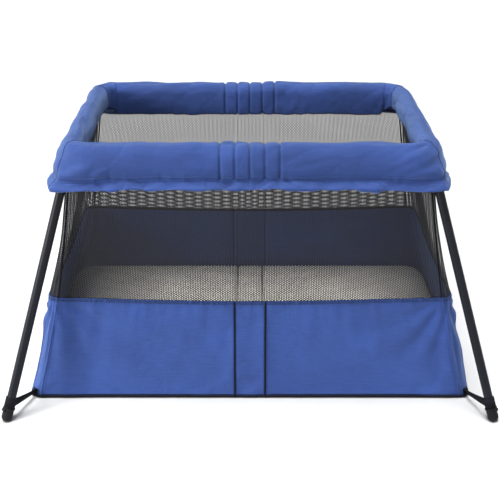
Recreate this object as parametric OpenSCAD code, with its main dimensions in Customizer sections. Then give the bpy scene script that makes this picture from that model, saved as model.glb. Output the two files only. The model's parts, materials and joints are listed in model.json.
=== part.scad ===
// Travel play yard: a folding tube frame that carries a fabric tub.
// Origin on the floor under the middle of the yard, X along the long side, Z up.

/* [Rail frame] */
// Half length of the rail tube's centre line
rail_half_x = 386; // [370:1:400]
// Half width of the rail tube's centre line
rail_half_y = 241; // [230:1:250]
// Height of the rail tube's centre line
rail_z = 581; // [575:1:590]
// Outer diameter of the rail tube
rail_od = 20; // [18:0.5:21]
// Bend radius of the rail's corners
rail_bend = 45; // [42:1:50]
// Distance of each fold hinge from the middle of the long rail
fold_x = 33; // [30:1:40]
// Wall thickness of the steel tubes
tube_wall = 1.5; // [1:0.1:2]

/* [Legs] */
// Pivot of a leg, measured from the middle of the yard along X
pivot_x = 396; // [392:1:398]
// Pivot of a leg, measured from the middle of the yard along Y
pivot_y = 221; // [219:1:224]
// Height of the leg pivots
pivot_z = 552; // [550:1:554]
// Where a leg's centre line meets the floor, along X
foot_x = 550; // [540:1:560]
// Where a leg's centre line meets the floor, along Y
foot_y = 395; // [385:1:405]
// Outer diameter of a leg
leg_od = 20; // [18:0.5:20]

/* [Fabric tub] */
// Half length of the tub at the floor
floor_half_x = 510; // [500:1:515]
// Half width of the tub at the floor
floor_half_y = 305; // [298:1:308]
// Half length of the tub at the hem between the cloth and the mesh
hem_half_x = 452; // [448:1:458]
// Half width of the tub at the hem
hem_half_y = 270; // [266:1:274]
// Height of the hem
hem_z = 242; // [230:1:250]
// Half length of the tub where the mesh enters the rail cover
top_half_x = 402; // [398:1:404]
// Half width of the tub where the mesh enters the rail cover
top_half_y = 236; // [232:1:238]
// Height at which the mesh enters the rail cover
top_z = 528; // [524:1:529]
// Half width of the middle strip between the two black seams
seam_x = 35; // [34:1:40]

/* [Mattress] */
// Half length of the mattress
mattress_half_x = 490; // [470:1:490]
// Half width of the mattress
mattress_half_y = 287; // [275:1:287]
// Top of the mattress
mattress_top = 55; // [45:1:56]

/* [Hidden] */

$fn = 48;
blue = "#4468b0";
black = "#16161c";
steel = "#b9bcc2";
foam_grey = "#d7d3c8";

rail_r = rail_od / 2;
leg_r = leg_od / 2;
fit = 0.05;                       // radial clearance of a pin in its bore
gap = 0.3;                        // room between pieces that only lie close

// Fold hinge: the axis lies level with the top of the rail tube
hinge_z = rail_z + rail_r;
hinge_pin_r = 2.5;
barrel_r = 5;
leaf_w = 8;                       // width of the middle leaf
knuckle_w = 16.8;                 // width over all the leaves
collar_len = 10;                  // length of a fitting outside its tube
insert_len = 22;                  // length of a fitting inside its tube
link_insert = 10;
rivet_r = 2;
rivet_in = 8;                      // distance of a rivet from the end of its tube

// Leg: plan direction of its swing, its slope and its length to the floor
run_x = foot_x - pivot_x;
run_y = foot_y - pivot_y;
leg_run = sqrt(run_x * run_x + run_y * run_y);
leg_tilt = atan2(leg_run, pivot_z);
leg_len = sqrt(leg_run * leg_run + pivot_z * pivot_z);
leg_pin_r = 3;
tongue_w = 9;
ear_t = 4;
ear_r = 9;
ear_gap = tongue_w / 2 + gap;
knuckle_drop = 14;                // from the pivot to the top end of the leg tube
cap_r = 12.2;
cap_len = 34;
cap_centre_z = 10;                // height of the centre of the foot's round end
strap_w = 20;
strap_t = 2;

// Tub
cloth_t = 3;
mesh_t = 2;
tub_r = 45;
mesh_r = 40;
floor_low = 2;
bind_h = 9;
bind_t = 2;
arc_steps = 6;

// Lock button under each link
button_l = 40;
button_w = 14;
button_h = 7;
stem_r = 4;
button_drop = 5.5;                // room between the button and the link, its travel
spring_wire = 0.6;
spring_turns = 4;

// ---- outlines -------------------------------------------------------------

// Stations round a corner that turns about [cx, cy], starting at the angle given.
// Each is [x, y, normal x, normal y, how far round the corner it lies].
function corner_stations(cx, cy, r, start) =
    [for (i = [0:arc_steps]) let (a = start + 90 * i / arc_steps)
        [cx + r * cos(a), cy + r * sin(a), cos(a), sin(a), abs(sin(2 * a))]];

// Panels along one half of a rounded rectangle, from the front cut to the back cut:
// straight, corner, straight, corner, straight, with a seam's width between them.
function panels(hx, hy, r, cut) = let (cx = hx - r, cy = hy - r) [
    [[cut, -hy, 0, -1, 0], [cx - gap, -hy, 0, -1, 0]],
    corner_stations(cx, -cy, r, -90),
    [[hx, gap - cy, 1, 0, 0], [hx, cy - gap, 1, 0, 0]],
    corner_stations(cx, cy, r, 0),
    [[cx - gap, hy, 0, 1, 0], [cut, hy, 0, 1, 0]]];

// The same stations in one row
function stations(hx, hy, r, cut) = [for (panel = panels(hx, hy, r, cut), s = panel) s];

// Point of a station pushed out by n, and further by extra round a corner
function pushed(s, n, extra, z) =
    let (m = n + extra * s[4]) [s[0] + m * s[2], s[1] + m * s[3], z];

// Closed solid whose section is one ring of points at each station
module skin(rings) {
    n = len(rings);
    m = len(rings[0]);
    points = [for (ring = rings, p = ring) p];
    sides = [for (i = [0:n - 2], j = [0:m - 1]) let (k = (j + 1) % m)
        [i * m + j, i * m + k, (i + 1) * m + k, (i + 1) * m + j]];
    polyhedron(points, concat(sides, [[for (j = [m - 1:-1:0]) j]],
        [[for (j = [0:m - 1]) (n - 1) * m + j]]));
}

// Wall between two heights, given as [half x, half y, corner radius, z]
module tub_wall(low, high, thick, cut, out = 0) {
    a = panels(low[0], low[1], low[2], cut);
    b = panels(high[0], high[1], high[2], cut);
    for (p = [0:len(a) - 1])
        skin([for (i = [0:len(a[p]) - 1]) [
            pushed(a[p][i], out, 0, low[3]), pushed(a[p][i], out - thick, 0, low[3]),
            pushed(b[p][i], out - thick, 0, high[3]), pushed(b[p][i], out, 0, high[3])]]);
}

// The same wall's straight piece between the two cuts, at the front or the back
module tub_strip(low, high, thick, half, side, out = 0) {
    skin([for (x = [-half, half]) [
        [x * side, -side * (low[1] + out), low[3]],
        [x * side, -side * (low[1] + out - thick), low[3]],
        [x * side, -side * (high[1] + out - thick), high[3]],
        [x * side, -side * (high[1] + out), high[3]]]]);
}

function tub_at(z) = let (s = (z - floor_low) / (hem_z - floor_low))
    [floor_half_x + s * (hem_half_x - floor_half_x),
     floor_half_y + s * (hem_half_y - floor_half_y), tub_r, z];
tub_low = tub_at(floor_low);
tub_hem = tub_at(hem_z);
mesh_low = [hem_half_x, hem_half_y, tub_r, hem_z + gap];
mesh_high = [top_half_x, top_half_y, mesh_r, top_z];

// Half of a rounded plate beyond the cut
module half_plate(hx, hy, r, z0, z1, cut) {
    translate([0, 0, z0]) linear_extrude(z1 - z0)
        polygon([for (s = stations(hx, hy, r, cut)) [s[0], s[1]]]);
}

// Left and right copies: the left half is the right half turned by half a turn
module on_side(side) { rotate([0, 0, side > 0 ? 0 : 180]) children(); }

// ---- rail frame -----------------------------------------------------------

module tube_ring(r) {
    difference() {
        circle(r = r);
        circle(r = r - tube_wall);
    }
}

// Straight tube along +X from x0 to x1
module straight_tube(x0, x1, r) {
    translate([x0, 0, 0]) rotate([90, 0, 90]) linear_extrude(x1 - x0) tube_ring(r);
}

module rail_bend_tube() {
    rotate_extrude(angle = 90, $fn = 96) translate([rail_bend, 0]) tube_ring(rail_r);
}

module rivet_at(x, r) {
    translate([x, 0, 0]) rotate([90, 0, 0]) cylinder(r = r, h = 3 * rail_od, center = true);
}

tube_start = fold_x + collar_len;
rivet_at_x = tube_start + rivet_in;

// U-shaped half of the top rail, for the right side
module rail_tube() {
    ends_x = rail_half_x - rail_bend;
    ends_y = rail_half_y - rail_bend;
    translate([0, 0, rail_z]) {
        for (side = [-1, 1]) {
            translate([0, side * rail_half_y, 0]) difference() {
                straight_tube(tube_start, ends_x, rail_r);
                rivet_at(rivet_at_x, rivet_r + fit);
            }
        }
        translate([ends_x, ends_y, 0]) rail_bend_tube();
        translate([ends_x, -ends_y, 0]) rotate([0, 0, -90]) rail_bend_tube();
        translate([rail_half_x, 0, 0]) rotate([0, 0, 90])
            straight_tube(-ends_y, ends_y, rail_r);
    }
}

// Hinge fitting in the frame of its hinge line, reaching along +X.
// middle = true gives the single leaf, false the two outer leaves.
module hinge_fitting(middle, insert) {
    side_w = (knuckle_w - leaf_w) / 2;
    difference() {
        union() {
            translate([gap, 0, -rail_r]) rotate([0, 90, 0])
                cylinder(r = rail_r, h = collar_len - gap);
            translate([gap, 0, -rail_r]) rotate([0, 90, 0])
                cylinder(r = rail_r - tube_wall - fit, h = collar_len - gap + insert);
            translate([gap, -knuckle_w / 2, -rail_r])
                cube([collar_len - 2 * gap, knuckle_w, rail_r]);
            rotate([90, 0, 0]) cylinder(r = barrel_r, h = knuckle_w, center = true);
        }
        if (middle) {
            for (s = [-1, 1])
                translate([0, s * (leaf_w / 2 + side_w), 0]) rotate([90, 0, 0])
                    cylinder(r = barrel_r + gap, h = 2 * side_w + gap, center = true);
        } else {
            rotate([90, 0, 0])
                cylinder(r = barrel_r + gap, h = leaf_w + gap, center = true);
        }
        rotate([90, 0, 0])
            cylinder(r = hinge_pin_r + fit, h = 2 * knuckle_w, center = true);
        if (!middle) translate([0, 0, -rail_r]) rivet_at(rivet_at_x - fold_x, rivet_r + fit);
    }
}

module rail_end_fittings() {
    for (side = [-1, 1])
        translate([fold_x, side * rail_half_y, hinge_z]) hinge_fitting(false, insert_len);
}

module link_end_fittings() {
    color(black) for (side = [-1, 1], way = [-1, 1])
        translate([way * fold_x, side * rail_half_y, hinge_z])
            rotate([0, 0, way > 0 ? 180 : 0]) hinge_fitting(true, link_insert);
}

// Short tube between the two fold hinges of a long rail, open below for the button's stem
module rail_link(side) {
    half = fold_x - collar_len;
    color(black) translate([0, side * rail_half_y, rail_z]) difference() {
        straight_tube(-half, half, rail_r);
        translate([0, 0, -rail_od]) cylinder(r = stem_r + gap, h = rail_od);
    }
}

module rail_hinge_pins() {
    color(steel) for (side = [-1, 1], way = [-1, 1])
        translate([way * fold_x, side * rail_half_y, hinge_z]) rotate([90, 0, 0])
            cylinder(r = hinge_pin_r, h = knuckle_w + 1, center = true);
}

module rail_rivets() {
    for (side = [-1, 1])
        translate([rivet_at_x, side * rail_half_y, rail_z]) rotate([90, 0, 0])
            cylinder(r = rivet_r, h = rail_od + 1, center = true);
}

// Soft foam tubes that pad the straight stretches of the rail
module rail_foam() {
    foam_r = 15;
    reach = 30;
    translate([0, 0, rail_z]) {
        for (side = [-1, 1])
            translate([tube_start + reach, side * rail_half_y, 0]) rotate([0, 90, 0])
                foam_tube(foam_r, rail_half_x - rail_bend - tube_start - reach - 4);
        translate([rail_half_x, -rail_half_y + rail_bend + reach, 0]) rotate([-90, 0, 0])
            foam_tube(foam_r, 2 * (rail_half_y - rail_bend - reach));
    }
}

module foam_tube(r, length) {
    difference() {
        cylinder(r = r, h = length);
        translate([0, 0, -1]) cylinder(r = rail_r + gap, h = length + 2);
    }
}

// Button that slides up into the link, with its stem
module lock_button(side) {
    color(black) translate([0, side * rail_half_y, rail_z - rail_r - button_drop]) {
        translate([-button_l / 2 + button_w / 2, 0, -button_h])
            linear_extrude(button_h) for (s = [0, 1])
                translate([s * (button_l - button_w), 0]) circle(r = button_w / 2);
        translate([-button_l / 2 + button_w / 2, -button_w / 2, -button_h])
            cube([button_l - button_w, button_w, button_h]);
        cylinder(r = stem_r, h = button_drop + tube_wall + 2);
        cylinder(r = stem_r - 2, h = button_drop + tube_wall + 6);
    }
}

// Spring inside each link, between the tube's crown and the button's stem
spring_r = 2.9;
spring_low = rail_z - rail_r + tube_wall + 2 + spring_wire + gap;
spring_high = rail_z + rail_r - tube_wall - spring_wire - gap;
function spring_ring(i, n) = let (a = 360 * spring_turns * i / n)
    [for (j = [0:5]) let (b = 60 * j, r = spring_r + spring_wire * cos(b))
        [r * cos(a), r * sin(a),
         spring_low + (spring_high - spring_low) * i / n + spring_wire * sin(b)]];
module lock_springs() {
    n = 12 * spring_turns;
    color(steel) for (side = [-1, 1]) translate([0, side * rail_half_y, 0])
        skin([for (i = [0:n]) spring_ring(i, n)]);
}

// ---- legs -----------------------------------------------------------------

// Frame of a corner: origin at the leg pivot, +X along the leg's swing outward
module at_corner(side_x, side_y) {
    translate([side_x * pivot_x, side_y * pivot_y, pivot_z])
        rotate([0, 0, atan2(side_y * run_y, side_x * run_x)]) children();
}

// Frame of a leg: origin at the pivot, -Z down the leg
module along_leg(side_x, side_y) {
    at_corner(side_x, side_y) rotate([0, -leg_tilt, 0]) children();
}

// Saddle round the bend of the rail with two ears for the leg
module corner_bracket(side_x, side_y) {
    shell_r = rail_r + 4;
    rise = rail_z - pivot_z;
    bend_centre = [side_x * (rail_half_x - rail_bend), side_y * (rail_half_y - rail_bend), rail_z];
    arc_from = side_x * side_y > 0 ? 2 : 46;
    turn = side_x > 0 ? (side_y > 0 ? 0 : -90) : (side_y > 0 ? 90 : 180);
    color(black) difference() {
        union() {
            translate(bend_centre) rotate([0, 0, turn + arc_from])
                rotate_extrude(angle = 42, $fn = 96) translate([rail_bend, 0]) circle(r = shell_r);
            at_corner(side_x, side_y) for (s = [-1, 1])
                translate([0, s * (ear_gap + ear_t / 2), 0]) rotate([90, 0, 0])
                    linear_extrude(ear_t, center = true) {
                        circle(r = ear_r);
                        polygon([[-ear_r, 0], [ear_r, 0], [ear_r - 3, 14], [-2, rise],
                            [-28, rise], [-26, 16], [-ear_r, 12.5]]);
                    }
        }
        translate(bend_centre) rotate([0, 0, turn])
            rotate_extrude(angle = 90, $fn = 96) translate([rail_bend, 0])
                circle(r = rail_r + fit);
        at_corner(side_x, side_y) {
            rotate([90, 0, 0]) cylinder(r = leg_pin_r + fit, h = 60, center = true);
            translate([-6, 0, 1]) cube([22, 2 * ear_gap, 24], center = true);
        }
    }
}

module leg_pivot_pins(side_x) {
    head = 1.6;
    half = ear_gap + ear_t;
    color(steel) for (side_y = [-1, 1]) at_corner(side_x, side_y) rotate([90, 0, 0]) {
        cylinder(r = leg_pin_r, h = 2 * half + 1, center = true);
        for (s = [-1, 1]) translate([0, 0, s * (half + fit + head / 2)])
            cylinder(r = leg_pin_r + 2, h = head, center = true);
    }
}

cap_top = (pivot_z - cap_centre_z) / cos(leg_tilt) - cap_len + cap_r;

module leg_tube(side_x, side_y) {
    color(black) along_leg(side_x, side_y) translate([0, 0, -cap_top - cap_len + cap_r + 4])
        linear_extrude(cap_top + cap_len - cap_r - 4 - knuckle_drop) tube_ring(leg_r);
}

// Tongue that turns on the pivot pin, plugged into the top of the leg
module leg_knuckle(side_x, side_y) {
    color(black) along_leg(side_x, side_y) difference() {
        union() {
            rotate([90, 0, 0]) cylinder(r = 8, h = tongue_w, center = true);
            translate([-8, -tongue_w / 2, -knuckle_drop]) cube([16, tongue_w, knuckle_drop]);
            translate([0, 0, -knuckle_drop]) cylinder(r = leg_r, h = 3);
            translate([0, 0, -knuckle_drop - 24])
                cylinder(r = leg_r - tube_wall - fit, h = 25);
        }
        rotate([90, 0, 0]) cylinder(r = leg_pin_r + fit, h = 30, center = true);
    }
}

// Rounded cap on the end of a leg, with a flat where it stands and a lug on its outside
module foot_cap(side_x, side_y) {
    color(black) difference() {
        along_leg(side_x, side_y) {
            translate([0, 0, -cap_top - cap_len + cap_r]) sphere(r = cap_r);
            translate([0, 0, -cap_top - cap_len + cap_r])
                cylinder(r = cap_r, h = cap_len - cap_r);
            translate([0, 0, -cap_top - 4]) cylinder(r = cap_r + 1.4, h = 4);
            translate([cap_r, 0, -cap_top - 5]) rotate([90, 0, 0])
                cylinder(r = 4, h = 9, center = true);
        }
        along_leg(side_x, side_y) translate([0, 0, -cap_top - cap_len + cap_r + 3.9])
            cylinder(r = leg_r + fit, h = cap_len);
        translate([side_x * foot_x, side_y * foot_y, -20]) cube([120, 120, 40], center = true);
    }
}

// Webbing strap: a loop round the leg and a band to the corner of the tub's floor
module foot_strap(side_x, side_y) {
    loop_r = leg_r + gap;
    loop_z = -cap_top + 2 + strap_w / 2;
    loop_height = pivot_z + loop_z * cos(leg_tilt);
    share = (pivot_z - loop_height) / pivot_z;
    start = [side_x * (pivot_x + share * run_x), side_y * (pivot_y + share * run_y), loop_height];
    corner_a = atan2(run_y, run_x);
    reach = tub_r + bind_t + 2;
    end = [side_x * (floor_half_x - tub_r + reach * cos(corner_a)),
           side_y * (floor_half_y - tub_r + reach * sin(corner_a)), 14];
    way = end - start;
    level = norm([way[0], way[1]]);
    color(black) difference() {
        union() {
            along_leg(side_x, side_y) translate([0, 0, loop_z])
                cylinder(r = loop_r + strap_t, h = strap_w, center = true);
            translate(start) rotate([0, atan2(-way[2], level), atan2(way[1], way[0])])
                translate([0, -strap_t / 2, -strap_w / 2]) cube([norm(way), strap_t, strap_w]);
        }
        along_leg(side_x, side_y) translate([0, 0, loop_z])
            cylinder(r = loop_r, h = 3 * strap_w, center = true);
        translate([0, 0, -20]) cube([2 * foot_x, 2 * foot_y, 40 + 2 * gap], center = true);
    }
}

// ---- padded rail cover ----------------------------------------------------

// Sections of the sleeve's outer face, top and inner face, with a seam between them.
// Their points are [outward, further out round a corner, height].
cover_sections = [
    [[44, 10, 515], [31, 14, 532], [27, 12, 560], [24, 0, 588], [18, 0, 586], [21, 12, 560],
     [26, 14, 533], [40, 10, 516]],
    [[24, 0, 588 + gap], [16, 0, 600], [0, 0, 605], [-16, 0, 600], [-24, 0, 588 + gap],
     [-18, 0, 586 + gap], [-12, 0, 597], [12, 0, 597], [18, 0, 586 + gap]],
    [[-24, 0, 588], [-24, 0, 526], [-18, 0, 526], [-18, 0, 586]]];

// Straight stretch of one section along +X, on the front rail
module cover_straight(section, x0, x1, rail_y) {
    translate([x0, -rail_y, 0]) rotate([90, 0, 90]) linear_extrude(x1 - x0)
        polygon([for (c = section) [-c[0], c[2]]]);
}

module rail_cover() {
    bend_x = rail_half_x - rail_bend;
    bend_y = rail_half_y - rail_bend;
    color(blue) for (section = cover_sections) {
        cover_straight(section, fold_x + gap, bend_x - gap, rail_half_y);
        mirror([0, 1, 0]) cover_straight(section, fold_x + gap, bend_x - gap, rail_half_y);
        rotate([0, 0, 90]) cover_straight(section, gap - bend_y, bend_y - gap, rail_half_x);
        for (corner = [corner_stations(bend_x, -bend_y, rail_bend, -90),
                       corner_stations(bend_x, bend_y, rail_bend, 0)])
            skin([for (s = corner) [for (c = section) pushed(s, c[0], c[1], c[2])]]);
    }
}

module rail_cover_centre() {
    color(blue) for (turn = [0, 180], section = cover_sections)
        rotate([0, 0, turn]) cover_straight(section, -fold_x, fold_x, rail_half_y);
}

// ---- fabric tub and mattress ----------------------------------------------

module mesh_wall() { color(black) tub_wall(mesh_low, mesh_high, mesh_t, seam_x + gap); }

module cloth_wall() { color(blue) tub_wall(tub_low, tub_hem, cloth_t, seam_x + gap); }

module bottom_binding() {
    color(black) tub_wall(tub_low, tub_at(floor_low + bind_h), bind_t, seam_x + gap,
        bind_t + gap);
}

module floor_side() {
    edge = cloth_t + 1.5;
    color(blue) half_plate(floor_half_x - edge, floor_half_y - edge, tub_r - edge,
        floor_low, floor_low + cloth_t, seam_x + gap);
}

module mattress_side() {
    color(foam_grey) half_plate(mattress_half_x, mattress_half_y, 60,
        floor_low + cloth_t + 2, mattress_top, seam_x + gap);
}

module both_strips(low, high, thick, out = 0) {
    for (side = [-1, 1]) tub_strip(low, high, thick, seam_x, side, out);
}

module middle_plate(hy, z0, z1) {
    translate([-seam_x, -hy, z0]) cube([2 * seam_x, 2 * hy, z1 - z0]);
}

// ---- nodes ----------------------------------------------------------------

rail_link(-1);  // rail_link_front
rail_link(1);  // rail_link_back
link_end_fittings();
rail_hinge_pins();
lock_button(-1);  // lock_button_front
lock_button(1);  // lock_button_back
lock_springs();
color(black) on_side(-1) rail_tube();  // rail_tube_left
color(black) on_side(1) rail_tube();  // rail_tube_right
color(black) on_side(-1) rail_end_fittings();  // rail_end_fittings_left
color(black) on_side(1) rail_end_fittings();  // rail_end_fittings_right
color(steel) on_side(-1) rail_rivets();  // rail_rivets_left
color(steel) on_side(1) rail_rivets();  // rail_rivets_right
color(foam_grey) on_side(-1) rail_foam();  // rail_foam_left
color(foam_grey) on_side(1) rail_foam();  // rail_foam_right
corner_bracket(-1, -1);  // corner_bracket_front_left
corner_bracket(1, -1);  // corner_bracket_front_right
corner_bracket(-1, 1);  // corner_bracket_back_left
corner_bracket(1, 1);  // corner_bracket_back_right
leg_pivot_pins(-1);  // leg_pivot_pins_left
leg_pivot_pins(1);  // leg_pivot_pins_right
leg_tube(-1, -1);  // leg_tube_front_left
leg_tube(1, -1);  // leg_tube_front_right
leg_tube(-1, 1);  // leg_tube_back_left
leg_tube(1, 1);  // leg_tube_back_right
leg_knuckle(-1, -1);  // leg_knuckle_front_left
leg_knuckle(1, -1);  // leg_knuckle_front_right
leg_knuckle(-1, 1);  // leg_knuckle_back_left
leg_knuckle(1, 1);  // leg_knuckle_back_right
foot_cap(-1, -1);  // foot_cap_front_left
foot_cap(1, -1);  // foot_cap_front_right
foot_cap(-1, 1);  // foot_cap_back_left
foot_cap(1, 1);  // foot_cap_back_right
foot_strap(-1, -1);  // foot_strap_front_left
foot_strap(1, -1);  // foot_strap_front_right
foot_strap(-1, 1);  // foot_strap_back_left
foot_strap(1, 1);  // foot_strap_back_right
rail_cover_centre();
on_side(-1) rail_cover();  // rail_cover_left
on_side(1) rail_cover();  // rail_cover_right
color(black) both_strips(mesh_low, mesh_high, mesh_t);  // mesh_wall_centre
on_side(-1) mesh_wall();  // mesh_wall_left
on_side(1) mesh_wall();  // mesh_wall_right
color(blue) both_strips(tub_low, tub_hem, cloth_t);  // cloth_wall_centre
on_side(-1) cloth_wall();  // cloth_wall_left
on_side(1) cloth_wall();  // cloth_wall_right
color(black) both_strips(tub_low, tub_at(floor_low + bind_h), bind_t, bind_t + gap);  // bottom_binding_centre
on_side(-1) bottom_binding();  // bottom_binding_left
on_side(1) bottom_binding();  // bottom_binding_right
color(blue) middle_plate(floor_half_y - cloth_t - 1.5, floor_low, floor_low + cloth_t);  // floor_centre
on_side(-1) floor_side();  // floor_left
on_side(1) floor_side();  // floor_right
color(foam_grey) middle_plate(mattress_half_y, floor_low + cloth_t + 2, mattress_top);  // mattress_centre
on_side(-1) mattress_side();  // mattress_left
on_side(1) mattress_side();  // mattress_right
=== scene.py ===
"""Looks of the travel play yard: cloth, mesh, pads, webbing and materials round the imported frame.

Lengths are in metres, +Z is up and the front of the yard faces -Y.
"""
import json
import math

import bpy
import numpy as np
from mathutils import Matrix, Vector


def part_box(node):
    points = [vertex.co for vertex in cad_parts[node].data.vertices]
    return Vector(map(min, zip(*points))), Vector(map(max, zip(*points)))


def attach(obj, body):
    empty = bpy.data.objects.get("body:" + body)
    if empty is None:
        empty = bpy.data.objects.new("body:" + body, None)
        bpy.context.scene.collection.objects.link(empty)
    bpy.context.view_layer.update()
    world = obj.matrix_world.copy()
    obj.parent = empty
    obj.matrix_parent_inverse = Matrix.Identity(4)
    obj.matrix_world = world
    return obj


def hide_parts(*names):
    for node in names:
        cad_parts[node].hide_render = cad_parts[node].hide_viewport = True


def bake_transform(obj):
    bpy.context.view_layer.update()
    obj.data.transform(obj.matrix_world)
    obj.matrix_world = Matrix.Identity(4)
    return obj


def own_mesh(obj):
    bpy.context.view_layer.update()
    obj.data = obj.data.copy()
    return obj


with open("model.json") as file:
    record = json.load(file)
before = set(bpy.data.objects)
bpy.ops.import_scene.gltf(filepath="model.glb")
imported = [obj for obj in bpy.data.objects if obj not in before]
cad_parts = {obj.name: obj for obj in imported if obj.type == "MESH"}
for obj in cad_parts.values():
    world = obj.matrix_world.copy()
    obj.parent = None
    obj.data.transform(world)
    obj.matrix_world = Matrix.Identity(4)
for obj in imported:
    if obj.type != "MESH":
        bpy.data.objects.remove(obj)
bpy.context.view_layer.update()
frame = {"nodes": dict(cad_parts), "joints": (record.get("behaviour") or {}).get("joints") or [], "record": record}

# ---- sizes, from the frame ----

SIDES = {"left": -1, "right": 1}
CORNERS = {"front_left": (-1, -1), "front_right": (1, -1), "back_left": (-1, 1), "back_right": (1, 1)}
JOINTS = {joint["name"]: joint for joint in frame["joints"]}
MM = 0.001

tube_low, tube_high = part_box("rail_tube_right")
TUBE_R = (tube_high.z - tube_low.z) / 2
RAIL_X = tube_high.x - TUBE_R
RAIL_Y = tube_high.y - TUBE_R
RAIL_Z = tube_high.z - TUBE_R
RAIL_BEND = 45 * MM

cloth_low, cloth_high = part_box("cloth_wall_right")
FLOOR_X, FLOOR_Y = cloth_high.x + 5 * MM, cloth_high.y
FLOOR_Z = cloth_low.z
mesh_low, mesh_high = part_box("mesh_wall_right")
HEM_X, HEM_Y, HEM_Z = mesh_high.x + 6 * MM, mesh_high.y, mesh_low.z
TOP_X, TOP_Y, TOP_Z = RAIL_X + 14 * MM, RAIL_Y - 6 * MM, mesh_high.z
SEAM_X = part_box("cloth_wall_centre")[1].x
TUB_BEND = 24 * MM
pad_low, pad_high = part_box("mattress_right")

# How many grid steps the tub has across the middle strip, along a long side's half,
# round a corner and along a short side
STRIP_STEPS, LONG_STEPS, CORNER_STEPS, SHORT_STEPS = 6, 34, 8, 40
# Stations where the two corner bends of a half begin
BENDS = (LONG_STEPS, LONG_STEPS + CORNER_STEPS + SHORT_STEPS)
# How many rows of points the cloth wall and the net wall have
WALL_ROWS, NET_ROWS = 21, 17
# How far the settled cloth may stand off the sewn shape
ROOM_OUTSIDE, ROOM_INSIDE = 8 * MM, 4 * MM
# Where the legs' centre lines meet the ground, and the straps' half twist in degrees
FOOT_X, FOOT_Y = 550 * MM, 395 * MM
STRAP_TWIST = 24


# ---- helpers: grids of cloth ----

def waves(u, v, length, seed, count=7):
    """Smooth random waves of about that length over the cloth, from -1 to 1, the same on each run."""
    random = np.random.default_rng(seed)
    total = 0
    for _ in range(count):
        angle, phase = random.uniform(0, math.pi), random.uniform(0, 2 * math.pi)
        turn = 2 * math.pi / (length * random.uniform(0.7, 1.5))
        total = total + np.sin(turn * (u * math.cos(angle) + v * math.sin(angle)) + phase)
    return total / count ** 0.5 / 1.6


def bump_at(x, centre, width):
    """A smooth bump of height 1 at the centre."""
    return np.exp(-((x - centre) / width) ** 2)


def half_stations():
    """Places along the right half of a rounded rectangle, from the front seam to the back seam.

    A row is (a, b, c, d, e, nx, ny): x = a + b * half_x + c * radius, y = d * half_y + e * radius.
    """
    def long_side(share, end):
        return [SEAM_X * (1 - share), share, -share, end, 0, 0, end]

    def corner(share, end):
        angle = math.pi / 2 * (share + (end - 1) / 2)
        return [0, 1, math.cos(angle) - 1, end, math.sin(angle) - end, math.cos(angle), math.sin(angle)]

    rows = [long_side(i / LONG_STEPS, -1) for i in range(LONG_STEPS)]
    rows += [corner(i / CORNER_STEPS, -1) for i in range(CORNER_STEPS)]
    rows += [[0, 1, 0, 2 * i / SHORT_STEPS - 1, 1 - 2 * i / SHORT_STEPS, 1, 0] for i in range(SHORT_STEPS)]
    rows += [corner(i / CORNER_STEPS, 1) for i in range(CORNER_STEPS)]
    rows += [long_side(1 - i / LONG_STEPS, 1) for i in range(LONG_STEPS + 1)]
    return np.array(rows, float)


def loop_stations():
    """Places all round the tub: right half, back strip, left half, front strip."""
    strip = [[SEAM_X * (1 - 2 * i / STRIP_STEPS), 0, 0, 1, 0, 0, 1] for i in range(1, STRIP_STEPS)]
    half = np.concatenate([half_stations(), strip])
    return np.concatenate([half, -half])


STATIONS = loop_stations()
HALF_LEN = 2 * (LONG_STEPS + CORNER_STEPS) + SHORT_STEPS
LOOP_LEN = len(STATIONS)
PARTS = {
    "right": [(0, HALF_LEN)],
    "left": [(LOOP_LEN // 2, LOOP_LEN // 2 + HALF_LEN)],
    "centre": [(HALF_LEN, LOOP_LEN // 2), (LOOP_LEN // 2 + HALF_LEN, LOOP_LEN)],
}
BODIES = {"left": "left_half", "right": "right_half", "centre": "spine"}


def ring(half_x, half_y, radius, out=0.0):
    """The loop's plan at one level, pushed outward by out, which may vary round the loop."""
    a, b, c, d, e, nx, ny = STATIONS.T
    return np.stack([a + b * half_x + c * radius + nx * out, d * half_y + e * radius + ny * out], 1)


def refined(grid):
    """The loop's grid with a smooth new column and row between each two."""
    before, after, later = np.roll(grid, 1, 0), np.roll(grid, -1, 0), np.roll(grid, -2, 0)
    wide = np.empty((2 * len(grid), *grid.shape[1:]))
    wide[0::2] = grid
    wide[1::2] = (9 * (grid + after) - before - later) / 16
    low, high = 2 * wide[:, :1] - wide[:, 1:2], 2 * wide[:, -1:] - wide[:, -2:-1]
    more = np.concatenate([low, wide, high], 1)
    tall = np.empty((len(wide), 2 * wide.shape[1] - 1, *grid.shape[2:]))
    tall[:, 0::2] = wide
    tall[:, 1::2] = (9 * (more[:, 1:-2] + more[:, 2:-1]) - more[:, :-3] - more[:, 3:]) / 16
    return tall


def surface(points):
    """A loop of cloth as a grid: its points, outward normals, and lengths along and up it."""
    along = np.roll(points, -1, 0) - np.roll(points, 1, 0)
    up = np.gradient(points, axis=1)
    normals = np.cross(along, up)
    normals /= np.linalg.norm(normals, axis=2, keepdims=True)
    middle = points[:, points.shape[1] // 2]
    steps = np.linalg.norm(np.diff(np.concatenate([middle, middle[:1]]), axis=0), axis=1)
    u = np.concatenate([[0], np.cumsum(steps)])
    rises = np.linalg.norm(np.diff(points, axis=1), axis=2).mean(0)
    v = np.concatenate([[0], np.cumsum(rises)])
    return {"points": points, "normals": normals, "u": u, "v": v}


def lengths(cloth):
    """The lengths along and up a loop of cloth at each of its points."""
    return np.meshgrid(cloth["u"][:-1], cloth["v"], indexing="ij")


def pushed_out(cloth, amount):
    """The same cloth moved along its own normals."""
    amount = np.broadcast_to(amount, cloth["points"].shape[:2])[..., None]
    return surface(cloth["points"] + cloth["normals"] * amount)


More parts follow.
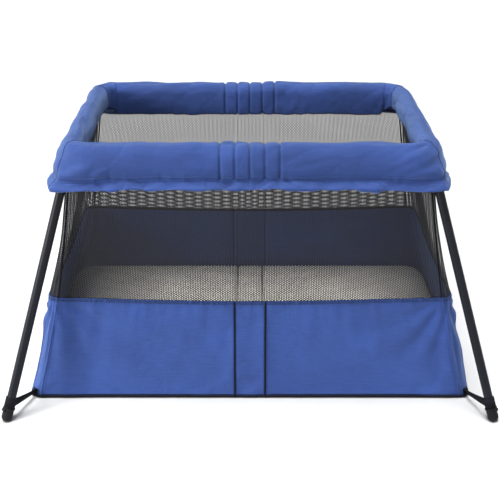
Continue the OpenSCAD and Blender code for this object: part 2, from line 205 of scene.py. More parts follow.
def band(cloth, low, high, rows, lift):
    """A strip of the cloth between two heights measured along it, lifted off it."""
    heights = np.linspace(low, high, rows)
    place = np.interp(heights, cloth["v"], np.arange(len(cloth["v"])))
    below = np.minimum(place.astype(int), len(cloth["v"]) - 2)
    share = (place - below)[None, :, None]
    grid = cloth["points"] + cloth["normals"] * lift
    return surface(grid[:, below] * (1 - share) + grid[:, below + 1] * share)


def columns(cloth, part):
    """The grid columns of a part of the loop, once for each stretch."""
    scale = len(cloth["points"]) // LOOP_LEN
    return [np.arange(a * scale, b * scale + 1) for a, b in PARTS[part]]


# ---- helpers: meshes ----

def uv_grid(u, v):
    """Every pair of the two lists of lengths, as a grid."""
    return np.stack(np.meshgrid(u, v, indexing="ij"), -1)


def distances(path):
    """Length along a path up to each of its points."""
    return np.concatenate([[0], np.cumsum(np.linalg.norm(np.diff(path, axis=0), axis=1))])


def along_path(spots, far, values):
    """Values that belong to a path's points, read at other distances along it."""
    return np.stack([np.interp(spots, far, values[:, k]) for k in range(3)], 1)


def new_object(name, data):
    """An object with that data, linked into the scene."""
    made = bpy.data.objects.new(name, data)
    bpy.context.scene.collection.objects.link(made)
    return made


def make_mesh(name, points, faces, uvs=None, material=None):
    """An object from points and faces, smooth, with lengths along the cloth as its UVs."""
    mesh = bpy.data.meshes.new(name)
    mesh.from_pydata(np.asarray(points, float).tolist(), [], faces)
    mesh.validate()
    if uvs is not None:
        corners = np.empty(len(mesh.loops), int)
        mesh.loops.foreach_get("vertex_index", corners)
        mesh.uv_layers.new(name="UVMap").data.foreach_set("uv", np.asarray(uvs, np.float32)[corners].ravel())
    mesh.shade_smooth()
    if material is not None:
        mesh.materials.append(MATERIALS[material])
    return new_object(name, mesh)


def grid_faces(n, m, start=0, closed=False, flip=False):
    """Four-sided faces of a grid whose points run along its second side first."""
    i, j = np.meshgrid(np.arange(n if closed else n - 1), np.arange(m - 1), indexing="ij")
    a = start + i * m + j
    b = start + (i + 1) % n * m + j
    quads = np.stack([a, b, b + 1, a + 1], -1).reshape(-1, 4)
    return (quads[:, ::-1] if flip else quads).tolist()


def shell_arrays(outer, inner, uv):
    """Points, faces and UVs of a closed thin shell between two open grids."""
    n, m = outer.shape[:2]
    back = n * m
    faces = grid_faces(n, m) + grid_faces(n, m, back, flip=True)
    rim = [i * m for i in range(n)] + [(n - 1) * m + j for j in range(1, m)]
    rim += [i * m + m - 1 for i in range(n - 2, -1, -1)] + [j for j in range(m - 2, 0, -1)]
    for a, b in zip(rim, rim[1:] + rim[:1]):
        faces.append([b, a, back + a, back + b])
    points = np.concatenate([outer.reshape(-1, 3), inner.reshape(-1, 3)])
    return points, faces, np.concatenate([uv.reshape(-1, 2)] * 2)


def joined_mesh(name, parts, material):
    """One object from several parts, each as its points, faces and UVs."""
    faces, start = [], 0
    for points, own_faces, _ in parts:
        faces += [[start + corner for corner in face] for face in own_faces]
        start += len(points)
    points, _, uvs = zip(*parts)
    return make_mesh(name, np.concatenate(points), faces, np.concatenate(uvs), material)


def column_shell(cloth, wanted, u, thick):
    """Points, faces and UVs of a thin shell whose outer face is on some columns of a cloth."""
    at = wanted % len(cloth["points"])
    outer = cloth["points"][at]
    return shell_arrays(outer, outer - thick * cloth["normals"][at], uv_grid(u, cloth["v"]))


def cloth_piece(name, cloth, part, thick, material):
    """A part of the loop as a thin closed shell."""
    shells = [column_shell(cloth, at, cloth["u"][at], thick) for at in columns(cloth, part)]
    return joined_mesh(name, shells, material)


def unit(vectors):
    """The vectors at length 1."""
    return vectors / np.maximum(np.linalg.norm(vectors, axis=-1, keepdims=True), 1e-12)


def tube_faces(n, sides):
    """Faces round a tube of n rings, with a flat cap at both ends."""
    faces = []
    for i in range(n - 1):
        for j in range(sides):
            k = (j + 1) % sides
            faces.append([i * sides + j, i * sides + k, (i + 1) * sides + k, (i + 1) * sides + j])
    faces.append(list(range(sides - 1, -1, -1)))
    faces.append([(n - 1) * sides + j for j in range(sides)])
    return faces


def tube_arrays(path, radius):
    """Points, faces and UVs of a round cord along a path, with closed ends."""
    sides = 8
    path = np.asarray(path, float)
    ahead = unit(np.gradient(path, axis=0))
    across = unit(np.cross(ahead, [0.3, 0.2, 0.93]))
    third = unit(np.cross(across, ahead))
    turn = 2 * np.pi * np.arange(sides) / sides
    rings = (path[:, None] + radius * np.cos(turn)[None, :, None] * across[:, None]
             + radius * np.sin(turn)[None, :, None] * third[:, None])
    faces = tube_faces(len(path), sides)
    return rings.reshape(-1, 3), faces, uv_grid(distances(path), turn * radius).reshape(-1, 2)


def cords(name, paths, radius, material):
    """One object of several cords."""
    return joined_mesh(name, [tube_arrays(path, radius) for path in paths], material)


# A stitch as a slim lens: its points as (along, outward, across), and its faces
STITCH_POINTS = np.array([(-1, -0.4, 0), (-0.5, 0, 1), (-0.5, 1, 0), (-0.5, 0, -1), (0.5, 0, 1), (0.5, 1, 0),
                          (0.5, 0, -1), (1, -0.4, 0)])
STITCH_FACES = [[0, 1, 2], [0, 2, 3], [0, 3, 1], [1, 4, 5, 2], [2, 5, 6, 3], [3, 6, 4, 1], [7, 5, 4],
                [7, 6, 5], [7, 4, 6]]


def stitches(name, rows, material):
    """Rows of thread stitches, each a slim lens. A row is (path, normals)."""
    pitch, half_length, half_width = 4.5 * MM, 1.6 * MM, 0.55 * MM
    lenses = []
    for path, normals in rows:
        far = distances(path)
        spots = np.arange(pitch / 2, far[-1] - pitch / 2, pitch)
        middle = along_path(spots, far, path)
        out = unit(along_path(spots, far, normals))
        ahead = unit(along_path(spots + half_length, far, path) - middle)
        axes = np.stack([ahead * half_length, out * half_width, np.cross(ahead, out) * half_width], 1)
        points = (middle[:, None] + STITCH_POINTS @ axes).reshape(-1, 3)
        size = len(STITCH_POINTS)
        faces = [[k * size + corner for corner in face] for k in range(len(spots)) for face in STITCH_FACES]
        lenses.append((points, faces, np.zeros((len(points), 2))))
    return joined_mesh(name, lenses, material)


# ---- helpers: materials ----

class Shader:
    """A Principled material that is built up node by node."""

    def __init__(self, name, on_uv=True, **constants):
        self.material = bpy.data.materials.new(name)
        self.material.use_nodes = True
        self.tree = self.material.node_tree
        self.main = self.tree.nodes["Principled BSDF"]
        for socket, value in constants.items():
            self.main.inputs[socket.replace("_", " ")].default_value = value
        coordinates = self.tree.nodes.new("ShaderNodeUVMap" if on_uv else "ShaderNodeTexCoord")
        self.place = coordinates.outputs["UV" if on_uv else "Object"]

    def node(self, kind, links=None, **settings):
        made = self.tree.nodes.new(kind)
        for key, value in settings.items():
            setattr(made, key, value)
        for key, value in (links or {}).items():
            if isinstance(value, bpy.types.NodeSocket):
                self.tree.links.new(value, made.inputs[key])
            else:
                made.inputs[key].default_value = value
        return made

    def math(self, operation, a, b=0.0):
        return self.node("ShaderNodeMath", {0: a, 1: b}, operation=operation).outputs[0]

    def scaled(self, a, share, b):
        """a * share + b."""
        return self.math("ADD", self.math("MULTIPLY", a, share), b)

    def stretched(self, x=1.0, y=1.0, turn=0.0):
        links = {"Vector": self.place, "Scale": (x, y, 1.0), "Rotation": (0, 0, turn)}
        return self.node("ShaderNodeMapping", links).outputs[0]

    def noise(self, scale, detail=3.0, rough=0.55, x=1.0, y=1.0):
        links = {"Vector": self.stretched(x, y), "Scale": scale, "Detail": detail, "Roughness": rough}
        return self.node("ShaderNodeTexNoise", links).outputs["Fac"]

    def ridges(self, pitch, turn=0.0):
        """Sine ridges with that spacing across the U direction, turned by an angle."""
        axis = self.node("ShaderNodeSeparateXYZ", {0: self.stretched(turn=turn)}).outputs[0]
        return self.math("SINE", self.math("MULTIPLY", axis, 2 * math.pi / pitch))

    def weave(self, pitch):
        """Plain weave of crossing threads as a height from -1 to 1."""
        return self.math("MULTIPLY", self.ridges(pitch), self.ridges(pitch, math.pi / 2))

    def ramp(self, value, low, high, dark, light):
        made = self.node("ShaderNodeValToRGB", {0: value})
        for stop, position, colour in zip(made.color_ramp.elements, (low, high), (dark, light)):
            stop.position, stop.color = position, (*colour, 1)
        return made.outputs[0]

    def mix(self, share, base, colour):
        links = {0: share, 6: base, 7: (*colour, 1)}
        return self.node("ShaderNodeMix", links, data_type="RGBA").outputs[2]

    def bump(self, height, distance, strength=0.6, under=None):
        links = {"Height": height, "Distance": distance, "Strength": strength}
        if under is not None:
            links["Normal"] = under
        return self.node("ShaderNodeBump", links).outputs[0]

    def drive(self, socket, value):
        self.tree.links.new(value, self.main.inputs[socket])


def shade(colour, factor):
    return tuple(min(1.0, c * factor) for c in colour)


def woven(name, colour, pitch, sheen=0.35, roughness=0.72, slub=0.5, depth=1.0):
    """Woven cloth: crossing threads, slubs along the weft, cloudy dye and faint creases."""
    s = Shader(name, Sheen_Weight=sheen, Sheen_Roughness=0.45, Sheen_Tint=(0.50, 0.72, 1.0, 1.0),
               Specular_IOR_Level=0.2)
    threads = s.weave(pitch)
    streaks = s.noise(1.0, 2.0, x=25, y=420)
    clouds = s.noise(5.0, 4.0)
    creases = s.noise(38.0, 4.0, 0.6)
    tone = s.scaled(clouds, 0.55, s.math("MULTIPLY", streaks, 0.45 * slub))
    tone = s.scaled(threads, 0.05, tone)
    base = s.ramp(tone, 0.25, 0.72, shade(colour, 0.68), shade(colour, 1.30))
    rubbed = s.ramp(s.noise(14.0, 5.0, 0.65), 0.56, 0.80, (0, 0, 0), (0.16, 0.16, 0.16))
    s.drive("Base Color", s.mix(rubbed, base, shade(colour, 1.7)))
    s.drive("Roughness", s.scaled(clouds, 0.16, roughness - 0.08))
    fine = s.bump(threads, 0.0004 * depth, 0.5)
    s.drive("Normal", s.bump(creases, 0.004 * depth, 0.6, fine))
    return s.material


def net(name, colour, pitch, open_level):
    """Knitted mesh: six-sided holes between round threads, with uneven knots."""
    s = Shader(name, Roughness=0.6, Specular_IOR_Level=0.3)
    turn = 4 * math.pi / (math.sqrt(3) * pitch)
    total = 0.0
    for angle in (0, math.pi * 2 / 3, math.pi * 4 / 3):
        axis = s.node("ShaderNodeSeparateXYZ", {0: s.stretched(turn=angle)}).outputs[0]
        total = s.math("ADD", s.math("COSINE", s.math("MULTIPLY", axis, turn)), total)
    uneven = s.math("MULTIPLY", s.math("SUBTRACT", s.noise(260.0, 2.0), 0.5), 0.9)
    hole = s.math("GREATER_THAN", s.math("ADD", total, uneven), open_level)
    s.drive("Alpha", s.math("SUBTRACT", 1.0, hole))
    tone = s.noise(900.0, 2.0)
    s.drive("Base Color", s.ramp(tone, 0.3, 0.7, shade(colour, 0.6), shade(colour, 1.7)))
    s.drive("Normal", s.bump(total, 0.0006, 0.7))
    return s.material


def ribbed(name, colour, pitch, turn=0.0, depth=0.0004):
    """Ribbed tape or webbing, with slight fuzz along the ribs."""
    s = Shader(name, Specular_IOR_Level=0.12)
    ribs = s.ridges(pitch, turn)
    cross = s.ridges(pitch * 1.7, turn + math.pi / 2)
    fuzz = s.noise(700.0, 3.0)
    tone = s.scaled(s.noise(60.0, 4.0), 0.6, s.math("MULTIPLY", ribs, 0.16))
    s.drive("Base Color", s.ramp(tone, 0.15, 0.55, shade(colour, 0.6), shade(colour, 1.9)))
    s.drive("Roughness", s.scaled(fuzz, 0.25, 0.6))
    height = s.scaled(cross, 0.5, ribs)
    s.drive("Normal", s.bump(height, depth, 0.6, s.bump(fuzz, 0.0002, 0.3)))
    return s.material


def painted(name, colour, worn):
    """Powder coat: fine orange peel, cloudy gloss and rubbed, lighter streaks."""
    s = Shader(name, on_uv=False, Specular_IOR_Level=0.22)
    peel = s.noise(900.0, 2.0)
    cloud = s.noise(18.0, 4.0)
    rub = s.ramp(s.noise(55.0, 6.0, 0.7), 0.60, 0.74, (0, 0, 0), (0.55, 0.55, 0.55))
    base = s.ramp(cloud, 0.3, 0.7, shade(colour, 0.75), shade(colour, 1.3))
    s.drive("Base Color", s.mix(rub, base, worn))
    s.drive("Roughness", s.scaled(cloud, 0.25, 0.32))
    s.drive("Normal", s.bump(peel, 0.0002, 0.35))
    return s.material


def plastic(name, colour, grain, roughness):
    """Moulded plastic or rubber: fine grain, scuffs and slight dust."""
    s = Shader(name, on_uv=False, Specular_IOR_Level=0.2)
    texture = s.noise(grain, 3.0)
    scuff = s.ramp(s.noise(90.0, 5.0, 0.7), 0.56, 0.78, (0, 0, 0), (0.5, 0.5, 0.5))
    base = s.ramp(s.noise(25.0, 3.0), 0.3, 0.7, shade(colour, 0.8), shade(colour, 1.3))
    s.drive("Base Color", s.mix(scuff, base, shade(colour, 3.0)))
    s.drive("Roughness", s.scaled(texture, 0.2, roughness - 0.1))
    s.drive("Normal", s.bump(texture, 0.0003, 0.4))
    return s.material


def brushed(name, colour):
    """Zinc-plated steel with fine turning marks and dull spots."""
    s = Shader(name, on_uv=False, Metallic=1.0)
    marks = s.noise(40.0, 3.0, y=30.0)
    spots = s.noise(150.0, 4.0)
    s.drive("Base Color", s.ramp(spots, 0.35, 0.65, shade(colour, 0.8), shade(colour, 1.1)))
    s.drive("Roughness", s.scaled(marks, 0.25, 0.22))
    s.drive("Normal", s.bump(marks, 0.0001, 0.4))
    return s.material


def foam(name, colour):
    """Closed-cell foam: small open bubbles and a slightly yellowed tone."""
    s = Shader(name, on_uv=False, Specular_IOR_Level=0.2, Roughness=0.9)
    cells = s.node("ShaderNodeTexVoronoi", {"Vector": s.place, "Scale": 700.0}).outputs["Distance"]
    s.drive("Base Color", s.ramp(s.noise(30.0, 4.0), 0.3, 0.7, shade(colour, 0.85), shade(colour, 1.05)))
    s.drive("Normal", s.bump(cells, 0.0006, 0.6))
    return s.material


def matt(name):
    """The studio's pale floor."""
    s = Shader(name, on_uv=False, Roughness=0.9, Specular_IOR_Level=0.1)
    s.drive("Base Color", s.ramp(s.noise(3.0, 2.0), 0.3, 0.7, (0.53, 0.53, 0.53), (0.56, 0.56, 0.56)))
    return s.material


CLOTH_BLUE = (0.032, 0.071, 0.270)
BLACK = (0.006, 0.006, 0.009)
MATERIALS = {
    # The sleeve's cloth is the tub's blue darkened by 0.88: painted shade that stands in for the shading on the
    # rail's roll
    "cover_cloth": woven("cover_cloth", shade(CLOTH_BLUE, 0.88), 1.1 * MM),
    "tub_cloth": woven("tub_cloth", CLOTH_BLUE, 1.1 * MM, slub=0.9),
    # The hem is the tub's blue darkened by 0.62: painted shade for the double fold and its stitching
    "hem_cloth_painted_shade": woven("hem_cloth_painted_shade", shade(CLOTH_BLUE, 0.62), 1.1 * MM, sheen=0.3),
    "floor_cloth": woven("floor_cloth", (0.03, 0.035, 0.06), 1.4 * MM),
    "mattress_cloth": woven("mattress_cloth", (0.76, 0.73, 0.65), 1.6 * MM, sheen=0.1, depth=1.4),
    "tub_mesh": net("tub_mesh", (0.012, 0.012, 0.014), 4.2 * MM, 0.42),
    "binding_tape": ribbed("binding_tape", BLACK, 1.2 * MM),
    "webbing": ribbed("webbing", BLACK, 2.0 * MM, depth=0.0007),
    "thread": ribbed("thread", (0.03, 0.05, 0.16), 0.6 * MM),
    "frame_paint": painted("frame_paint", (0.004, 0.005, 0.009), (0.016, 0.018, 0.026)),
    "fitting_plastic": plastic("fitting_plastic", (0.020, 0.020, 0.022), 700.0, 0.55),
    "foot_plastic": plastic("foot_plastic", (0.005, 0.005, 0.006), 500.0, 0.62),
    "pin_steel": brushed("pin_steel", (0.60, 0.60, 0.62)),
    "rail_foam": foam("rail_foam", (0.62, 0.60, 0.55)),
    "studio_floor": matt("studio_floor"),
}


def paint_frame():
    """Gives each CAD part that stays its material slot's procedural finish."""
    for row in frame["record"]["subparts"]:
        node = frame["nodes"][row["node"]]
        node.data.materials.clear()
        node.data.materials.append(MATERIALS[row["material_slot"]])


# ---- tub: cloth walls ----

def near_corner(plan, reach):
    """How near each point of a plan is to a corner of the rail, from 0 to 1."""
    inset = 13 * MM
    away = np.linalg.norm(np.abs(plan) - [RAIL_X - inset, RAIL_Y - inset], axis=1)
    return np.exp(-(away / reach) ** 2)


def hem_heights():
    """Height of the hem at each station: it sags between the corners."""
    corner_rise, reach = 10 * MM, 200 * MM
    return HEM_Z - 5 * MM + corner_rise * near_corner(ring(RAIL_X, RAIL_Y, RAIL_BEND), reach)


def wall_grid(rows, low, high, bend_end=TUB_BEND, out=lambda share: 0.0):
    """A wall of the tub as a grid. low and high are (half_x, half_y, height), height may vary along."""
    grid = np.empty((LOOP_LEN, rows, 3))
    for j, share in enumerate(np.linspace(0, 1, rows)):
        half_x, half_y, height = (a + share * (b - a) for a, b in zip(low, high))
        bend = TUB_BEND + share * (bend_end - TUB_BEND)
        grid[:, j, :2] = ring(half_x, half_y, bend, out(share))
        grid[:, j, 2] = height
    return grid


def cloth_rest_grid():
    """The blue wall as sewn, from the floor to the hem, which dips between the corners."""
    return wall_grid(WALL_ROWS, (FLOOR_X, FLOOR_Y, FLOOR_Z), (HEM_X, HEM_Y, hem_heights()))


def held_points():
    """1 where the wall is sewn fast: its two edges, the middle seams and the corner seams."""
    held = np.zeros((LOOP_LEN, WALL_ROWS))
    held[:, [0, -1]] = 1
    for a, b in sum(PARTS.values(), []):
        held[[a, b % LOOP_LEN]] = 1
    for part in SIDES:
        held[bend_ends(part)] = 1
    return held


def simulate(grid, held, frames, growth):
    """Lets a loop of cloth settle, held where held is 1, and returns its points."""
    n, m = grid.shape[:2]
    obj = make_mesh("cloth_at_work", grid.reshape(-1, 3), grid_faces(n, m, closed=True))
    group = obj.vertex_groups.new(name="held")
    group.add(np.flatnonzero(held).tolist(), 1.0, "REPLACE")
    cloth = obj.modifiers.new("cloth", "CLOTH")
    cloth.point_cache.frame_start, cloth.point_cache.frame_end = 1, frames
    physics = {"quality": 6, "mass": 0.25, "tension_stiffness": 30, "compression_stiffness": 25,
               "shear_stiffness": 8, "bending_stiffness": 0.05, "air_damping": 2.0, "use_pressure": True,
               "uniform_pressure_force": 0.4, "shrink_min": -growth, "vertex_group_mass": "held"}
    for setting, value in physics.items():
        setattr(cloth.settings, setting, value)
    scene = bpy.context.scene
    for number in range(1, frames + 1):
        scene.frame_set(number)
    settled = obj.evaluated_get(bpy.context.evaluated_depsgraph_get())
    points = np.empty(n * m * 3)
    settled.data.vertices.foreach_get("co", points)
    bpy.data.objects.remove(obj)
    scene.frame_set(1)
    return points.reshape(n, m, 3)


def tub_cloth():
    """The blue wall after the cloth has settled, with gathers under the hem and drag folds."""
    rest = surface(cloth_rest_grid())
    u, v = lengths(rest)
    height = v / v.max()
    start = 1.6 * MM * np.sin(np.pi * height) * waves(u, v * 0.35, 0.11, 3)
    start += 1.2 * MM * height ** 2 * (1 - height) * 4 * waves(u, v * 0.2, 0.035, 5)
    grid = pushed_out(rest, start)["points"]
    settled = simulate(grid, held_points(), frames=36, growth=0.008)
    swing = np.sum((settled - rest["points"]) * rest["normals"], axis=2)
    room = np.where(swing > 0, ROOM_OUTSIDE, ROOM_INSIDE)
    grid = rest["points"] + (room * np.tanh(swing / room))[..., None] * rest["normals"]
    cloth = surface(refined(grid))
    return pushed_out(cloth, drawn_folds(cloth))


def drawn_folds(cloth):
    """Folds that fan out from the top corners, gathers under the hem and small dents."""
    u, v = lengths(cloth)
    deep = v.max() - v
    scale = len(cloth["points"]) // LOOP_LEN
    folds = 1.6 * MM * waves(u, v * 0.5, 0.12, 12) + 0.4 * MM * waves(u, v, 0.03, 13)
    folds += 3.6 * MM * np.exp(-deep / (110 * MM)) * waves(u, v * 0.12, 0.048, 14)
    folds += 0.9 * MM * np.exp(-(deep / (26 * MM)) ** 2) * waves(u, v * 0.15, 0.016, 11)
    for turn in (0, LOOP_LEN // 2):
        for corner in (LONG_STEPS + 2, LONG_STEPS + 3 * CORNER_STEPS // 2 + SHORT_STEPS + 2):
            along = np.abs(u - cloth["u"][(turn + corner) * scale])
            along = np.minimum(along, cloth["u"][-1] - along)
            far = np.hypot(along, deep)
            fan = np.sin(13 * np.arctan2(deep, along) + 1.2 * waves(u, v, 0.2, 15) + turn)
            folds += 4.0 * MM * fan * np.exp(-(far / 0.26) ** 2) * np.clip(far / 0.05, 0, 1)
    return folds * np.sin(np.pi * np.clip(v / v.max(), 0, 1)) ** 0.5


def tub_mesh_wall():
    """The net wall from the hem to inside the rail cover, pulled slightly hollow."""
    near = near_corner(ring(RAIL_X, RAIL_Y, RAIL_BEND), 110 * MM)
    depth = 8 * MM + 3 * MM * (1 - near)
    low = (HEM_X, HEM_Y, hem_heights() - 3 * MM)
    high = (TOP_X, TOP_Y, TOP_Z + 2 * MM)
    grid = wall_grid(NET_ROWS, low, high, bend_end=0.35 * TUB_BEND,
                     out=lambda share: -depth * 4 * share * (1 - share) - 0.6 * MM)
    wall = surface(refined(grid))
    u, v = lengths(wall)
    slack = np.sin(np.pi * v / v.max())
    return pushed_out(wall, 1.6 * MM * slack * waves(u, v, 0.16, 21))


def place(piece, part, slot, cad=None):
    """Fixes a piece of the tub to its body, with the CAD solid that it stands for.
    """
    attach(piece, BODIES[part])
    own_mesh(piece)
    if cad:
        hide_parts(cad)
    return piece


def bend_ends(part):
    """Stations at both ends of the two corner bends of one half, which are its corner seams."""
    return [PARTS[part][0][0] + bend + way for bend in BENDS for way in (0, CORNER_STEPS)]


def seam_paths(cloth, stations, lift, beside=(0, 0, 0, 0)):
    """Paths and normals up the cloth at the stations given, lifted off it, or some columns beside."""
    count = len(cloth["points"])
    at = [(station * (count // LOOP_LEN) + way) % count for station, way in zip(stations, beside)]
    return [(cloth["points"][k] + lift * cloth["normals"][k], cloth["normals"][k]) for k in at]


def tub_bands(cloth):
    """The strips sewn round the tub: puckered hem, tape inside the hem and binding at the floor."""
    top = cloth["v"][-1]
    hem = band(cloth, top - 9 * MM, top, 4, 0.9 * MM)
    hem = surface(refined(refined(hem["points"])))
    u, v = lengths(hem)
    hem = pushed_out(hem, 1.2 * MM * waves(u, v * 0.3, 0.0085, 31))
    return hem, band(cloth, top - 7 * MM, top, 3, -2.2 * MM), band(cloth, 0.0, 7.5 * MM, 4, 1.6 * MM)


def seam_cords(name, cloth, part, stations, lift, radius, slot):
    """Cords up the seams of the cloth at the stations given, on one part's body."""
    paths = [path for path, _ in seam_paths(cloth, stations, lift)]
    return place(cords(name, paths, radius, slot), part, slot)


def build_tub():
    """Cloth walls, net, hem, tapes, welts, piping and stitches, each in three parts."""
    cloth, net_wall = tub_cloth(), tub_mesh_wall()
    hem, inner_tape, binding = tub_bands(cloth)
    top = cloth["v"][-1]
    # Name, grid, thickness in mm, material, slot and the CAD solid that it stands for
    layers = [("tub_cloth", cloth, 1.2, "tub_cloth", "tub_cloth", "cloth_wall"),
              ("tub_net", net_wall, 0.5, "tub_mesh", "tub_mesh", "mesh_wall"),
              ("tub_hem", hem, 1.6, "hem_cloth_painted_shade", "tub_cloth", None),
              ("hem_tape", inner_tape, 0.8, "binding_tape", "binding_tape", None),
              ("bottom_tape", binding, 1.6, "binding_tape", "binding_tape", "bottom_binding")]
    for part in PARTS:
        made = []
        for name, grid, thick, material, slot, cad in layers:
            piece = cloth_piece(f"{name}_{part}", grid, part, thick * MM, material)
            made.append(place(piece, part, slot, cad and f"{cad}_{part}"))
        wall, mesh, *extras = made
        rows = stitch_rows(cloth, part, [(top - 7.6 * MM, 1.9 * MM), (top - 3.0 * MM, 1.9 * MM),
                                         (5.4 * MM, 1.8 * MM)])
        if part == "centre":
            ends = sum(PARTS[part], ())
            extras.append(seam_cords("seam_piping", cloth, part, ends, 0.6 * MM, 1.9 * MM, "binding_tape"))
        else:
            bends = bend_ends(part)
            welts = seam_cords(f"corner_welts_{part}", cloth, part, bends, 0.2 * MM, 1.1 * MM, "tub_cloth")
            extras += [welts, corner_patches(cloth, part)]
            rows += seam_paths(cloth, bends, 0.3 * MM, beside=(-1, 1, -1, 1))
            tape = seam_cords(f"net_seams_{part}", net_wall, part, bends, 0, 1.7 * MM, "binding_tape")
        extras.append(place(stitches(f"tub_stitches_{part}", rows, "thread"), part, "tub_cloth"))


def stitch_rows(cloth, part, heights):
    """Stitch rows along the loop at the heights and lifts given."""
    rows = []
    for height, lift in heights:
        line = band(cloth, height - 0.1 * MM, height + 0.1 * MM, 2, lift)
        for stretch in columns(cloth, part):
            at = stretch % len(cloth["points"])
            rows.append((line["points"][at, 0], line["normals"][at, 0]))
    return rows


def corner_patches(cloth, part):
    """Black patches at the tub's bottom corners, where the straps are sewn on."""
    strip = band(cloth, 0.5 * MM, 19 * MM, 5, 2.9 * MM)
    reach, column_width = 4, 4 * MM
    wide = np.arange(2 * reach + 1)
    shells = []
    for bend in BENDS:
        middle = (PARTS[part][0][0] + bend + CORNER_STEPS // 2) * (len(cloth["points"]) // LOOP_LEN)
        shells.append(column_shell(strip, middle - reach + wide, wide * column_width, 1.2 * MM))
    return place(joined_mesh(f"corner_patches_{part}", shells, "webbing"), part, "webbing")


# ---- tub: floor and mattress ----

def rounded_plan(xs, ys, radius, outer_x, half_y):
    """A grid over a plate whose two outer corners are round."""
    x, y = np.meshgrid(xs, ys, indexing="ij")
    over_x = np.clip((x - (outer_x - radius)) / radius, 0, 1)
    over_y = np.clip((np.abs(y) - (half_y - radius)) / radius, 0, 1)
    new_x = np.where(over_x > 0, outer_x - radius + radius * over_x * np.sqrt(1 - over_y ** 2 / 2), x)
    new_y = np.where(over_y > 0, half_y - radius + radius * over_y * np.sqrt(1 - over_x ** 2 / 2), np.abs(y))
    return new_x, np.sign(y) * new_y


def eased(low, high, steps, edge):
    """Values from low to high that crowd together towards both ends."""
    inside = np.linspace(low + edge, high - edge, steps)
    near = edge * (1 - np.cos(np.linspace(0, math.pi / 2, 5)[:-1]))
    return np.concatenate([low + near, inside, (high - near)[::-1]])


def plate(name, upper, lower, uv, mirrored, material):
    """A plate between two grids; a mirrored one has its faces turned to point outward."""
    points, faces, uvs = shell_arrays(upper, lower, uv)
    if mirrored:
        faces = [face[::-1] for face in faces]
    return make_mesh(name, points, faces, uvs, material)


def pad(name, x0, x1, radius, mirror):
    """A firm pad with rounded edges, a soft crown and shallow hollows from use."""
    z0, z1, half_y = pad_low.z, pad_high.z, pad_high.y
    edge, crown, groove = 12 * MM, 2.5 * MM, 1.3 * MM
    xs, ys = eased(x0, x1, 40 if radius else 9, edge), eased(-half_y, half_y, 48, edge)
    px, py = np.meshgrid(xs, ys, indexing="ij")
    x, y = rounded_plan(xs, ys, radius, x1, half_y) if radius else (px, py)
    inset = np.minimum(np.minimum(px - x0, x1 - px), half_y - np.abs(py))
    drop = edge - np.sqrt(np.maximum(edge ** 2 - np.maximum(edge - inset, 0) ** 2, 0))
    soft = np.clip(inset / (60 * MM), 0, 1)
    top = z1 - drop + crown * soft * (2 - soft) + 0.9 * MM * soft * waves(px, py, 0.09, 41)
    top -= groove * bump_at(inset, 20 * MM, 3 * MM)
    upper = np.stack([x * mirror, y, top], -1)
    lower = np.stack([x * mirror, y, z0 + drop * 0.5], -1)
    return plate(name, upper, lower, np.stack([px, py], -1), mirror < 0, "mattress_cloth")


def edge_path(x0, x1, radius, z, mirror):
    """A path round the three outer sides of a wing's pad."""
    half_y = pad_high.y
    arc_steps, longest = 12, 20 * MM
    points = [(x0, -half_y)]
    for start, centre_y in ((-90, radius - half_y), (0, half_y - radius)):
        for i in range(arc_steps + 1):
            angle = math.radians(start + 90 * i / arc_steps)
            points.append((x1 - radius + radius * math.cos(angle), centre_y + radius * math.sin(angle)))
    points.append((x0, half_y))
    dense = []
    for a, b in zip(points, points[1:]):
        steps = max(1, int(math.dist(a, b) / longest))
        dense += [(a[0] + (b[0] - a[0]) * k / steps, a[1] + (b[1] - a[1]) * k / steps) for k in range(steps)]
    dense.append(points[-1])
    return np.array([(x * mirror, y, z) for x, y in dense])


def place_pad(body, cad, pad_piece, *trim):
    """Fixes a pad and its piping to their body."""
    for piece in (pad_piece, *trim):
        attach(piece, body)
    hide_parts(cad)


def build_mattress():
    """Three pads that lie flat and fold at the two creases."""
    near_x, far_x = SEAM_X + 0.6 * MM, pad_high.x
    corner = 60 * MM
    for side, sign in SIDES.items():
        wing = pad(f"pad_{side}", near_x, far_x, corner, sign)
        path = edge_path(near_x + 4 * MM, far_x, corner, pad_high.z - 9 * MM, sign)
        piping = cords(f"pad_piping_{side}", [path], 2.2 * MM, "mattress_cloth")
        place_pad(f"mattress_{side}_wing", f"mattress_{side}", wing, piping)
    place_pad("spine", "mattress_centre", pad("pad_centre", 0.6 * MM - SEAM_X, SEAM_X - 0.6 * MM, 0, 1))


def build_floor():
    """The tub's cloth floor in three parts, lightly rippled."""
    far_x, far_y = FLOOR_X - 3 * MM, FLOOR_Y - 3 * MM
    ys = np.linspace(-far_y, far_y, 38)
    for part, sign in (("left", -1), ("right", 1), ("centre", 0)):
        if sign:
            x, y = rounded_plan(np.linspace(SEAM_X, far_x, 30), ys, TUB_BEND, far_x, far_y)
            x = x * sign
        else:
            x, y = np.meshgrid(np.linspace(-SEAM_X, SEAM_X, 6), ys, indexing="ij")
        z = FLOOR_Z + 2.2 * MM + 0.5 * MM * waves(x, y, 0.07, 51)
        upper = np.stack([x, y, z], -1)
        uv = np.stack([x, y], -1)
        piece = plate(f"tub_floor_{part}", upper, upper - [0, 0, 1.4 * MM], uv, sign < 0,
                      "floor_cloth")
        place(piece, part, "floor_cloth", f"floor_{part}")


# ---- rail cover ----

